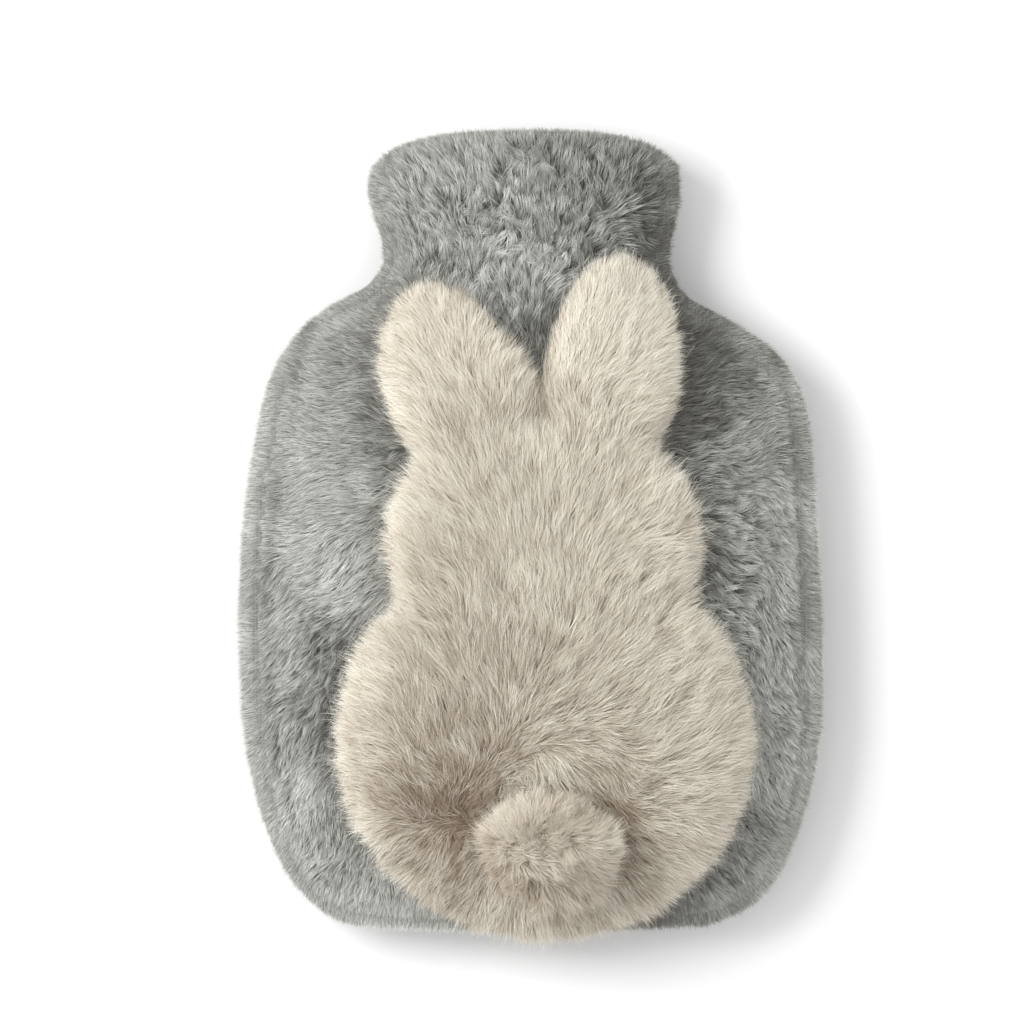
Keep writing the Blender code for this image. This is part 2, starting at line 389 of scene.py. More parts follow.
def tree_of(piece):
    corners = [vert.co for vert in piece.data.vertices]
    return BVHTree.FromPolygons(corners, [face.vertices for face in piece.data.polygons])


def height_over(tree, x, y):
    """The height of what a ray from above meets, or None beside it."""
    place = tree.ray_cast(Vector((x, y, 1.0)), Vector((0.0, 0.0, -1.0)))[0]
    return None if place is None else place.z


def inside_cut(x, y):
    """About how far each point is inside the rabbit's cut edge."""
    inset = BODY_INSET + (EAR_INSET - BODY_INSET) * ease(y, *EAR_CUT)
    return inside_rabbit(x, y) - inset


def onto_cut(vert):
    """Moves a point to the nearest place on the cut, by a few short steps down the slope."""
    step = 0.01 * MM
    for _ in range(8):
        x, y = vert.co.x, vert.co.y
        inside = inside_cut(x, y)
        slope = Vector((inside_cut(x + step, y) - inside, inside_cut(x, y + step) - inside)) / step
        move = slope * inside / max(slope.length_squared, 0.05)
        if move.length > 1.0 * MM:
            move *= 1.0 * MM / move.length
        vert.co.x -= move.x
        vert.co.y -= move.y


(low_x, high_x), (low_y, high_y) = RABBIT_BOX
cells = (round((high_x - low_x) / RABBIT_CELL), round((high_y - low_y) / RABBIT_CELL))
plan = bmesh.new()
bmesh.ops.create_grid(plan, x_segments=cells[0], y_segments=cells[1], size=1.0)
for vert in plan.verts:
    vert.co.x = low_x + (vert.co.x + 1.0) / 2.0 * (high_x - low_x)
    vert.co.y = low_y + (vert.co.y + 1.0) / 2.0 * (high_y - low_y)
outside = []
for face in plan.faces:
    middle = face.calc_center_median()
    if inside_cut(middle.x, middle.y) < 0.2 * RABBIT_CELL:
        outside.append(face)
bmesh.ops.delete(plan, geom=outside, context="FACES")
for vert in plan.verts:
    if vert.is_boundary:
        onto_cut(vert)

front_tree = tree_of(front)
for vert in plan.verts:
    inside = float(inside_cut(vert.co.x, vert.co.y))
    share = min(max(inside / RABBIT_ROUNDING, 0.0), 1.0)
    rise = RABBIT_RISE * math.sqrt(1.0 - (1.0 - share) ** 2)
    x, y = vert.co.x, vert.co.y
    while height_over(front_tree, x, y) is None:
        x, y = 0.99 * x, 0.99 * y
    vert.co.z = height_over(front_tree, x, y) + RABBIT_GAP + RABBIT_CLOTH + rise
for _ in range(2):
    bmesh.ops.smooth_vert(plan, verts=plan.verts, factor=0.5, use_axis_z=True)
plan.normal_update()
bmesh.ops.solidify(plan, geom=plan.faces[:], thickness=RABBIT_CLOTH)
bmesh.ops.recalc_face_normals(plan, faces=plan.faces)
plan.faces.sort(key=lambda face: face.calc_center_median().dot(SORT_ALONG))
plan.faces.index_update()
cream_backing = knitted_material("cream_backing", (0.60, 0.52, 0.42))
rabbit = new_piece("rabbit_cloth", mesh_of("rabbit_cloth", plan), cream_backing)
rabbit.data.shade_smooth()
rabbit_area = sum(face.area for face in rabbit.data.polygons) / 2
print("rabbit cloth:", len(rabbit.data.polygons), "faces and", round(rabbit_area * 1e6), "mm2 a side")

# %% [markdown]
# ## Hair
# The next cells are a small kit for hair. A table gives the way the hair is brushed at chosen
# places, and every other place takes an average of its neighbours in the table. That is how a
# hand brushes a pelt: broad strokes that turn slowly.

# %% Brushing


def brushed(table, x, y, reach):
    """At each point: the direction, how well the rows near it agree, and the other columns."""
    table = np.array(table, float)
    table_x, table_y = at_pixel(table[:, 0], table[:, 1])
    turns = np.radians(table[:, 2])
    away = (x[:, None] - table_x) ** 2 + (y[:, None] - table_y) ** 2
    weight = (away + reach**2) ** -2.5
    weight /= weight.sum(axis=1, keepdims=True)
    direction = np.stack([weight @ np.cos(turns), weight @ np.sin(turns)], axis=1)
    agreed = np.linalg.norm(direction, axis=1)
    direction /= np.maximum(agreed, 1e-6)[:, None]
    return direction, agreed, weight @ table[:, 3:]


def ripples(place, spacing, seed):
    """Smooth noise, mostly from -1 to 1, whose waves are about this far apart."""
    random = np.random.default_rng(seed)
    total = np.zeros(len(place))
    for _ in range(7):
        wave = random.normal(size=3)
        wave *= 2.0 * math.pi / (spacing * np.linalg.norm(wave) * random.uniform(0.7, 1.4))
        total += np.sin(place @ wave + random.uniform(0.0, 2.0 * math.pi))
    return total / 2.6


def turned(direction, angle):
    """The plan directions, each turned to the left by its angle."""
    cos, sin = np.cos(angle), np.sin(angle)
    x = direction[:, 0] * cos - direction[:, 1] * sin
    y = direction[:, 0] * sin + direction[:, 1] * cos
    return np.stack([x, y], axis=1)


def fading(away, wide):
    """From 1 at no distance down to almost 0 at twice the width."""
    return np.exp(-((away / wide) ** 2))


def off_line(x, y, line):
    """How far each point is from a line through places in the photograph."""
    points = np.stack(at_pixel(*np.array(line, float).T), axis=1)
    place = np.stack([x, y], axis=1)
    nearest = np.full(len(x), np.inf)
    for start, stop in zip(points, points[1:]):
        span = stop - start
        share = np.clip((place - start) @ span / max(span @ span, 1e-12), 0.0, 1.0)
        nearest = np.minimum(nearest, np.linalg.norm(place - start - share[:, None] * span, axis=1))
    return nearest


print("hair kit: brushing ready")

# %% [markdown]
# Roots are spread over the cloth's outer faces, as many as a face's area earns. Each root takes
# a smooth normal from its face's corners, so the hair doesn't show the faces it grows from.

# %% Roots


def unit(vectors):
    return vectors / np.maximum(np.linalg.norm(vectors, axis=1, keepdims=True), 1e-12)


def in_threes(items, name, kind=float):
    """The three values that each item holds under this name."""
    values = np.empty(len(items) * 3, kind)
    items.foreach_get(name, values)
    return values.reshape(-1, 3)


def surface_of(piece):
    """Corners and corner normals of the piece's triangles."""
    mesh = piece.data
    mesh.calc_loop_triangles()
    corners = in_threes(mesh.loop_triangles, "vertices", int)
    return in_threes(mesh.vertices, "co")[corners], in_threes(mesh.vertices, "normal")[corners]


def area_of(corners):
    sides = np.cross(corners[:, 1] - corners[:, 0], corners[:, 2] - corners[:, 0])
    return np.linalg.norm(sides, axis=1) / 2


def spread(corners, normals, weight, count, random):
    """Roots over the triangles, in proportion to area times weight, and their normals."""
    share = np.cumsum(area_of(corners) * weight)
    ticks = (np.arange(count) + random.random(count)) / count * share[-1]
    chosen = np.searchsorted(share, ticks)
    a, b = random.random(count), random.random(count)
    over = a + b > 1.0
    a[over], b[over] = 1.0 - a[over], 1.0 - b[over]
    mix = np.stack([1.0 - a - b, a, b], axis=1)[:, :, None]
    return (corners[chosen] * mix).sum(axis=1), unit((normals[chosen] * mix).sum(axis=1))


def hairs(count, random):
    """A call that draws one random value, mostly from -1 to 1, for each hair."""
    return lambda: random.normal(size=count)


def tufts(root, spacing, random):
    """The way from each root to the middle of its tuft, and a call that draws a value a tuft."""
    cells = {}
    for index in random.permutation(len(root)):
        cells[tuple((root[index] // spacing).astype(int))] = index
    middles = root[list(cells.values())]
    tree = KDTree(len(middles))
    for number, place in enumerate(middles):
        tree.insert(place, number)
    tree.balance()
    number = np.array([tree.find(place)[1] for place in root])
    return middles[number] - root, lambda: random.normal(size=len(middles))[number]


print("hair kit: roots ready")

# %% [markdown]
# Each hair leaves its root at one angle from the upright and ends at a larger one, so it arches
# over like combed fur. Its line is a curve through three points: root, middle and tip.

# %% Arched hairs
MIDDLE_GATHERS = 0.2
TAPER = 0.6
FLOOR_GAP = 0.2 * MM


def arched(root, normal, comb, length, leans, sag, gather):
    """The middle and the tip of each hair. leans are its angles from the normal at both ends."""
    comb = unit(comb - normal * (comb * normal).sum(axis=1, keepdims=True))
    low, high = leans
    start = normal * np.cos(low)[:, None] + comb * np.sin(low)[:, None]
    end = normal * np.cos(high)[:, None] + comb * np.sin(high)[:, None]
    end[:, 2] -= sag
    end = unit(end)
    middle = root + start * (length / 2)[:, None] + gather * MIDDLE_GATHERS
    tip = root + (start + end) * (length / 2)[:, None] + gather
    return middle, tip


def ribbon_corners(root, middle, tip, side, width, bands):
    """The corners of each ribbon, and how far along the hair each of them is."""
    rows = []
    heights = []
    for band in range(bands):
        t = band / bands
        line = (1 - t) ** 2 * root + 2 * t * (1 - t) * middle + t**2 * tip
        half = side * (width * (1.0 - t) ** TAPER / 2)[:, None]
        rows += [line - half, line + half]
        heights += [t, t]
    corners = np.stack([*rows, tip], axis=1)
    corners[..., 2] = np.maximum(corners[..., 2], FLOOR_GAP)
    return corners, np.array([*heights, 1.0])


def ribbon_mesh(name, corners, bands):
    """All ribbons as one mesh. The last face of each comes to a point."""
    count, each = corners.shape[:2]
    order = []
    for band in range(bands - 1):
        order += [2 * band, 2 * band + 1, 2 * band + 3, 2 * band + 2]
    order += [each - 3, each - 2, each - 1]
    sizes = [4] * (bands - 1) + [3]
    loops = (np.arange(count)[:, None] * each + np.array(order)).ravel()
    starts = np.arange(count)[:, None] * len(order) + np.concatenate([[0], np.cumsum(sizes)[:-1]])
    mesh = bpy.data.meshes.new(name)
    mesh.vertices.add(count * each)
    mesh.vertices.foreach_set("co", corners.ravel())
    mesh.loops.add(len(loops))
    mesh.loops.foreach_set("vertex_index", loops)
    mesh.polygons.add(starts.size)
    mesh.polygons.foreach_set("loop_start", starts.ravel())
    mesh.update(calc_edges=True)
    mesh.polygons.foreach_set("use_smooth", np.ones(starts.size, bool))
    return mesh, loops


print("hair kit: ribbons ready")

# %% [markdown]
# One call grows a whole pelt as a single mesh. A ribbon's flat side turns up from the cloth, and
# its shading normals lean nearly half way to the cloth's own, so that the pelt takes the light
# as one soft body. The texture coordinates hold the hair's tone across and the way from root to
# tip upwards, and the material needs nothing else.

# %% Growing a pelt
TONES = 200
TWIST = 0.5
CLOTH_NORMAL = 0.8
INSET_ALONG = 0.01
INSET_ACROSS = 0.2


def pelt(name, root, normal, comb, length, leans, sag, gather, width, bands, tone, material, random):
    """A mesh of tapered ribbons, one for each root, in the given number of bands."""
    count = len(root)
    middle, tip = arched(root, normal, comb, length, leans, sag, gather)
    along = unit(tip - root)
    side = unit(np.cross(along, normal + random.normal(scale=TWIST, size=(count, 3))))
    facing = np.cross(side, along)
    flip = (facing * normal).sum(axis=1) < 0.0
    side[flip] *= -1.0
    facing[flip] *= -1.0
    corners, heights = ribbon_corners(root, middle, tip, side, width, bands)
    mesh, loops = ribbon_mesh(name, corners, bands)
    each = len(heights)
    column = np.clip(tone, 0.0, 0.999) * TONES // 1 / TONES
    across = np.where(np.arange(each) % 2 == 0, INSET_ACROSS, 1.0 - INSET_ACROSS) / TONES
    across[-1] = 0.5 / TONES
    u = (column[:, None] + across).ravel()[loops]
    v = np.tile(heights * (1.0 - 2.0 * INSET_ALONG) + INSET_ALONG, count)[loops]
    mesh.uv_layers.new(name="OFBake").uv.foreach_set("vector", np.stack([u, v], axis=1).ravel())
    soft = np.repeat(unit(facing + CLOTH_NORMAL * normal), each, axis=0)
    mesh.normals_split_custom_set_from_vertices(soft)
    print(name, count, "hairs", count * (2 * bands - 1), "triangles")
    return new_piece(name, mesh, material)


print("hair kit: pelts ready")

# %% [markdown]
# ## Finishes
# Fur gets darker towards its roots, because less light reaches them, and because the long guard
# hairs are often dyed lighter at their tips. One node group holds that for every pelt: it mixes a
# dark hair and a light hair by the tone, and each of them from root to tip.

# %% Hair colours
TIP_FROM = 0.15
TIP_TO = 0.85


def tip_and_tone_group():
    group = bpy.data.node_groups.new("hair_colour", "ShaderNodeTree")
    for name in ("Dark root", "Dark tip", "Light root", "Light tip"):
        group.interface.new_socket(name, in_out="INPUT", socket_type="NodeSocketColor")
    group.interface.new_socket("Color", in_out="OUTPUT", socket_type="NodeSocketColor")
    nodes, links = group.nodes, group.links
    inputs = nodes.new("NodeGroupInput")
    output = nodes.new("NodeGroupOutput")
    place = nodes.new("ShaderNodeUVMap")
    place.uv_map = "OFBake"
    split = nodes.new("ShaderNodeSeparateXYZ")
    links.new(place.outputs["UV"], split.inputs["Vector"])
    rise = nodes.new("ShaderNodeMapRange")
    rise.interpolation_type = "SMOOTHSTEP"
    rise.inputs["From Min"].default_value = TIP_FROM
    rise.inputs["From Max"].default_value = TIP_TO
    links.new(split.outputs["Y"], rise.inputs["Value"])
    kinds = []
    for kind in ("Dark", "Light"):
        mix = nodes.new("ShaderNodeMix")
        mix.data_type = "RGBA"
        links.new(rise.outputs["Result"], mix.inputs["Factor"])
        links.new(inputs.outputs[kind + " root"], mix.inputs[6])
        links.new(inputs.outputs[kind + " tip"], mix.inputs[7])
        kinds.append(mix)
    tone = nodes.new("ShaderNodeMix")
    tone.data_type = "RGBA"
    links.new(split.outputs["X"], tone.inputs["Factor"])
    links.new(kinds[0].outputs[2], tone.inputs[6])
    links.new(kinds[1].outputs[2], tone.inputs[7])
    links.new(tone.outputs[2], output.inputs["Color"])
    return group


hair_group = tip_and_tone_group()


def hair_material(name, dark_root, dark_tip, light_root, light_tip):
    material = plain_material(name, light_tip, 0.75)
    nodes, links = material.node_tree.nodes, material.node_tree.links
    shader = nodes["Principled BSDF"]
    shader.inputs["Specular IOR Level"].default_value = 0.25
    colour = nodes.new("ShaderNodeGroup")
    colour.node_tree = hair_group
    for socket, value in zip(colour.inputs, (dark_root, dark_tip, light_root, light_tip)):
        socket.default_value = (*value, 1.0)
    links.new(colour.outputs["Color"], shader.inputs["Base Color"])
    return material


grey_hair = hair_material(
    "grey_hair", (0.08, 0.077, 0.062), (0.165, 0.163, 0.145), (0.36, 0.36, 0.335), (0.82, 0.825, 0.78)
)
cream_hair = hair_material(
    "cream_hair", (0.27, 0.20, 0.135), (0.42, 0.325, 0.235), (0.72, 0.63, 0.51), (0.95, 0.925, 0.825)
)
tail_hair = hair_material(
    "tail_hair", (0.44, 0.36, 0.27), (0.54, 0.46, 0.37), (0.76, 0.69, 0.575), (0.93, 0.885, 0.78)
)
print("finishes:", [material.name for material in bpy.data.materials])

# %% [markdown]
# ## Grey pile
# The grey pile is short. It is brushed outwards over the bag's rim, up the neck, and stands in
# small tufts there. The table's tuft column is high where the photograph shows tufts, and its
# tone column follows how light the fur looks. So the tone holds painted shade as well as the
# fur's own colour: its lowest rows, around the right ear, stand for the ear's shadow and for fur
# turned away from the lamp.

# %% Grey brushing
GREY_BRUSH = (
    # x, y in pixels, direction in degrees (90 is to the neck), tufts, tone with painted shade in it
    (400, 150, 128, 0.1, 0.55),
    (372, 165, 150, 0.05, 0.6),
    (470, 138, 118, 0.05, 0.5),
    (560, 135, 95, 0.1, 0.45),
    (640, 145, 62, 0.25, 0.4),
    (675, 165, 32, 0.15, 0.45),
    (378, 200, 165, 0.4, 0.55),
    (410, 190, 115, 0.8, 0.6),
    (470, 175, 115, 0.7, 0.6),
    (540, 175, 85, 0.9, 0.55),
    (600, 180, 80, 1.0, 0.45),
    (650, 190, 55, 1.0, 0.1),
    (678, 210, 5, 0.2, 0.3),
    (410, 235, 110, 1.0, 0.5),
    (470, 225, 80, 1.0, 0.6),
    (530, 225, 100, 1.0, 0.6),
    (590, 225, 60, 1.0, 0.5),
    (650, 230, 25, 1.0, 0.05),
    (385, 265, 140, 0.6, 0.5),
    (440, 262, 70, 0.8, 0.6),
    (490, 275, 55, 0.9, 0.7),
    (545, 270, 100, 1.0, 0.8),
    (520, 310, 75, 0.9, 0.55),
    (536, 345, 90, 0.5, 0.2),
    (665, 275, 20, 0.6, 0.2),
    (350, 305, 150, 0.2, 0.55),
    (375, 300, 150, 0.3, 0.45),
    (300, 350, 160, 0.05, 0.6),
    (350, 365, 178, 0.4, 0.4),
    (275, 420, 178, 0.05, 0.8),
    (330, 430, 180, 0.2, 0.45),
    (385, 430, 165, 0.5, 0.35),
    (286, 460, 182, 0.1, 0.75),
    (280, 545, 202, 0.25, 0.75),
    (280, 620, 225, 0.4, 0.65),
    (250, 520, 182, 0.05, 0.85),
    (300, 500, 195, 0.15, 0.55),
    (360, 500, 210, 0.35, 0.6),
    (290, 570, 222, 0.5, 0.55),
    (350, 565, 222, 0.4, 0.75),
    (245, 640, 184, 0.05, 0.85),
    (285, 650, 235, 0.6, 0.65),
    (320, 640, 240, 0.9, 0.3),
    (248, 730, 198, 0.1, 0.8),
    (290, 730, 248, 0.6, 0.6),
    (315, 720, 255, 0.9, 0.3),
    (262, 800, 235, 0.2, 0.8),
    (300, 800, 265, 0.5, 0.9),
    (335, 810, 265, 0.5, 0.45),
    (285, 860, 238, 0.2, 0.7),
    (330, 870, 262, 0.7, 0.65),
    (370, 900, 255, 0.6, 0.9),
    (340, 915, 245, 0.2, 0.75),
    (410, 925, 262, 0.2, 0.9),
    (530, 940, 270, 0.2, 0.5),
    (700, 300, 25, 0.2, 0.25),
    (750, 335, 15, 0.2, 0.45),
    (700, 350, 8, 0.5, -0.05),
    (695, 410, 0, 0.6, -0.05),
    (735, 390, 0, 0.4, 0.25),
    (775, 400, 5, 0.15, 0.7),
    (738, 447, 38, 0.6, 0.65),
    (715, 475, 5, 0.6, 0.4),
    (805, 460, 0, 0.1, 0.55),
    (780, 500, -40, 0.6, 0.9),
    (745, 520, -45, 1.0, 0.65),
    (718, 570, -15, 1.0, 0.5),
    (780, 590, -68, 0.6, 0.85),
    (745, 610, -45, 1.0, 0.7),
    (814, 600, -5, 0.1, 0.55),
    (785, 680, -75, 0.7, 0.85),
    (816, 700, -12, 0.1, 0.7),
    (775, 760, -80, 0.7, 0.9),
    (800, 790, -35, 0.15, 0.7),
    (755, 840, -60, 0.6, 0.5),
    (775, 860, -40, 0.2, 0.7),
    (725, 890, -50, 0.7, 0.5),
    (690, 922, -70, 0.3, 0.35),
)
GREY_REACH = 6.0 * MM
GROOVE_WIDE = 2.8 * MM
SHADED_GROOVES = (
    # painted shade: how much darker, and places along the soft groove inside the bag's edge
    (0.30, ((306, 320), (282, 395), (270, 460), (265, 540), (262, 620), (267, 720), (279, 785), (291, 835))),
    (0.28, ((778, 350), (797, 430), (803, 500), (806, 560), (806, 620), (800, 680), (790, 740))),
)

# The pile is clipped short in the two corners between the neck and the shoulders.
NECK_CORNERS = ((376, 284), (697, 294))
NECK_CORNER_WIDE = 8.0 * MM
NECK_CORNER_SHORTER = 0.5

print(len(GREY_BRUSH), "places in the grey table")

# %% [markdown]
# Grey hairs grow on the front's outer side, but not where the rabbit lies on it. Real fur cloth
# has two coats: a dense, short undercoat, and longer guard hairs with paler tips above it. Each
# small tuft draws its tips together, and the larger tufts turn to one side as a whole, which
# opens the dark partings between them; hairs at a large tuft's edge are painted darker as shade
# in those partings. Over the rim the hair lies flatter, shorter and more even, so that the bag's
# outline stays smooth.

# %% Where grey hair grows
CORE_HALF = 75.0
CORE_HALF_AT_NECK = 38.0
CORE_NARROWS = (45.0 * MM, 90.0 * MM)
CORE_Y = (-105.0 * MM, 125.0 * MM)
CORE_Z = 19.0 * MM
UPRIGHT = 0.45
STEEP = (0.03, 0.45)
RIM_WIDE = (1.5 * MM, 8.0 * MM)
UNDERSIDE = (0.1, 0.5)
LESS_RIM_BELOW = 0.6
UNDER_RABBIT = 7.0 * MM


def outer_side(corners, normals):
    """A weight for each triangle, 0 on the side towards the bottle."""
    facing = normals.mean(axis=1)
    middle = corners.mean(axis=1)
    core = middle.copy()
    narrower = (CORE_HALF - CORE_HALF_AT_NECK) * ease(middle[:, 1], *CORE_NARROWS)
    half = (CORE_HALF - narrower) * MM
    core[:, 0] = np.clip(core[:, 0], -half, half)
    core[:, 1] = np.clip(core[:, 1], *CORE_Y)
    core[:, 2] = CORE_Z
    return ((facing * (middle - core)).sum(axis=1) > 0.0).astype(float)


def rim_of(piece, root, normal, steep):
    """From 0 on the flat of the bag to 1 over its rim, where its surface stands upright."""
    upright = [vert.co for vert in piece.data.vertices if abs(vert.normal.z) < UPRIGHT]
    tree = KDTree(len(upright))
    for number, place in enumerate(upright):
        tree.insert((place.x, place.y, 0.0), number)
    tree.balance()
    away = np.array([tree.find((x, y, 0.0))[2] for x, y in root[:, :2]])
    rim = np.maximum(ease(steep, *STEEP), 1.0 - ease(away, *RIM_WIDE))
    under = ease(-normal[:, 2], *UNDERSIDE)
    return rim * (1.0 - LESS_RIM_BELOW * under)


def groove_shade(x, y):
    """How much painted shade the grooves put on the hair over each point."""
    return np.max([darker * fading(off_line(x, y, line), GROOVE_WIDE) for darker, line in SHADED_GROOVES], axis=0)


def beside_rabbit(middle):
    """1 on the cloth beside the rabbit, 0 deep under it."""
    return (inside_rabbit(middle[:, 0], middle[:, 1]) < UNDER_RABBIT).astype(float)


print("hair kit: places ready")

# %% [markdown]
# The numbers in the next function are shares, and angles in radians. A random value is drawn for
# each hair, for each small tuft and for each large tuft, so that the pelt is uneven at three
# sizes at once.

# %% Grey coats
GREY_COATS = (
    # hairs a square mm, more at the rim, length and width in mm, bands, tone, angle at the root
    (3.6, 0.7, 5.2, 0.32, 1, -0.14, 42.0),
    (2.8, -0.6, 6.8, 0.28, 2, 0.08, 44.0),
)
GREY_SEED = 11
GREY_ARCH = math.radians(30.0)
GREY_TUFTS = (1.2 * MM, 3.6 * MM)
LONG_WAVES = 24.0 * MM
SHORT_WAVES = 14.0 * MM
LYING = (0.7, 0.95)
LYING_LESS = 0.8
# Painted shade on the grey pile just outside the rabbit's edge: how much darker, and how wide.
RABBIT_EDGE_SHADE = 0.16
RABBIT_EDGE_SHADE_WIDE = 4.0 * MM
SAGS_AT_MOUTH = (138.0 * MM, 144.0 * MM)


def grey_coat(name, piece, keep, coat, seed):
    """One coat of grey hair on the part of the piece's outer side that keep allows."""
    density, at_rim, full, thin, bands, lighter, lift = coat
    random = np.random.default_rng(seed)
    corners, normals = surface_of(piece)
    facing = normals.mean(axis=1)[:, 2]
    weight = outer_side(corners, normals) * keep(corners.mean(axis=1))
    weight = weight * (1.0 + at_rim * ease(1.0 - facing, *STEEP))
    weight = weight * (1.0 - LYING_LESS * ease(-facing, *LYING))
    count = int(density * (area_of(corners) * weight).sum() / MM**2)
    root, normal = spread(corners, normals, weight, count, random)
    plan, _, columns = brushed(GREY_BRUSH, root[:, 0], root[:, 1], GREY_REACH)
    tuft, tone = columns.T
    steep = 1.0 - np.clip(normal[:, 2], 0.0, 1.0)
    rim = rim_of(piece, root, normal, steep)
    tuft = tuft * (1.0 - 0.75 * rim)
    hair = hairs(count, random)
    (to_small, small), (to_large, large) = [tufts(root, size, random) for size in GREY_TUFTS]
    # the way each hair is combed
    turn = 0.45 * ripples(root, LONG_WAVES, seed + 1) * (0.3 + tuft)
    turn = turn + 0.10 * hair() + 0.12 * small() + 0.42 * large() * tuft
    comb = np.column_stack([turned(plan, turn), -0.25 - 0.6 * rim])
    low = math.radians(lift) + 0.67 * rim + 0.10 * hair() * (1.0 - 0.75 * rim)
    low += 0.16 * large() * tuft
    high = low + GREY_ARCH + 0.08 * hair()
    leans = (np.clip(low, 0.2, 1.4), np.clip(high, 0.5, 1.55))
    # how long it is, and how far its tip is drawn to its tufts
    length = full * MM * (1.0 + hair() * (0.11 - 0.05 * rim))
    length *= (1.0 + 0.12 * tuft) * (1.0 - 0.40 * rim) * (1.0 - 0.25 * ease(steep, 0.4, 0.9))
    length *= 1.0 + 0.12 * large() * tuft
    for corner in NECK_CORNERS:
        off_corner = off_line(root[:, 0], root[:, 1], (corner, corner))
        length *= 1.0 - NECK_CORNER_SHORTER * fading(off_corner, NECK_CORNER_WIDE)
    gather = ((0.18 + 0.30 * tuft) * (1.0 - 0.7 * rim))[:, None] * to_small
    gather = gather + 0.75 * tuft[:, None] * to_large
    # how light it is
    over = root + comb * 0.85 * length[:, None]
    off_tuft = np.linalg.norm(to_large, axis=1) / (GREY_TUFTS[1] / 2)
    shade = tone + lighter + hair() * (0.09 + 0.05 * tuft - 0.03 * rim)
    shade += (0.06 + 0.05 * tuft) * (1.0 - 0.5 * rim) * small()
    shade += (0.03 + 0.10 * tuft) * large()
    shade += 0.05 * ripples(root, SHORT_WAVES, seed + 2) - groove_shade(over[:, 0], over[:, 1])
    # Painted shade: hairs towards a large tuft's edge are darker, those at its middle lighter.
    shade += 0.20 * tuft * (0.6 - off_tuft)
    # Painted shade on the grey pile just outside the rabbit's edge.
    outside = np.maximum(-inside_rabbit(root[:, 0], root[:, 1]), 0.0)
    shade -= RABBIT_EDGE_SHADE * fading(outside, RABBIT_EDGE_SHADE_WIDE)
    width = thin * MM * random.uniform(0.8, 1.2, size=count) * (1.0 - 0.3 * rim)
    sag = 0.1 + 1.5 * steep + ease(root[:, 1], *SAGS_AT_MOUTH)
    return pelt(name, root, normal, comb, length, leans, sag, gather, width, bands, shade, grey_hair, random)


# %% [markdown]
# Each coat is cut into a few meshes of a handy size. The back's pile is pressed flat under the
# bag, and hardly shows, so it is thinner on the ground.

# %% Grey pile
COAT_NAMES = ("undercoat", "guard_hair")
BACK_COAT = (3.9, 0.0, 6.5, 0.34, 1, 0.0, 46.0)
BACK_SEED = 99
NECK_ABOVE_MM = 62.0
PARTS = ("left", "right", "neck")


def part_of(middle):
    """The name of the part in which each triangle lies."""
    half = np.where(middle[:, 0] < 0.0, *PARTS[:2])
    return np.where(middle[:, 1] / MM >= NECK_ABOVE_MM, PARTS[2], half)


front_pile = []
for part in PARTS:

    def keep(middle):
        return beside_rabbit(middle) * (part_of(middle) == part)

    for coat_name, coat in zip(COAT_NAMES, GREY_COATS):
        seed = GREY_SEED + 10 * len(front_pile)
        front_pile.append(grey_coat(f"{part}_{coat_name}", front, keep, coat, seed))

back_pile = [grey_coat("back_pile", back, lambda middle: np.ones(len(middle)), BACK_COAT, BACK_SEED)]
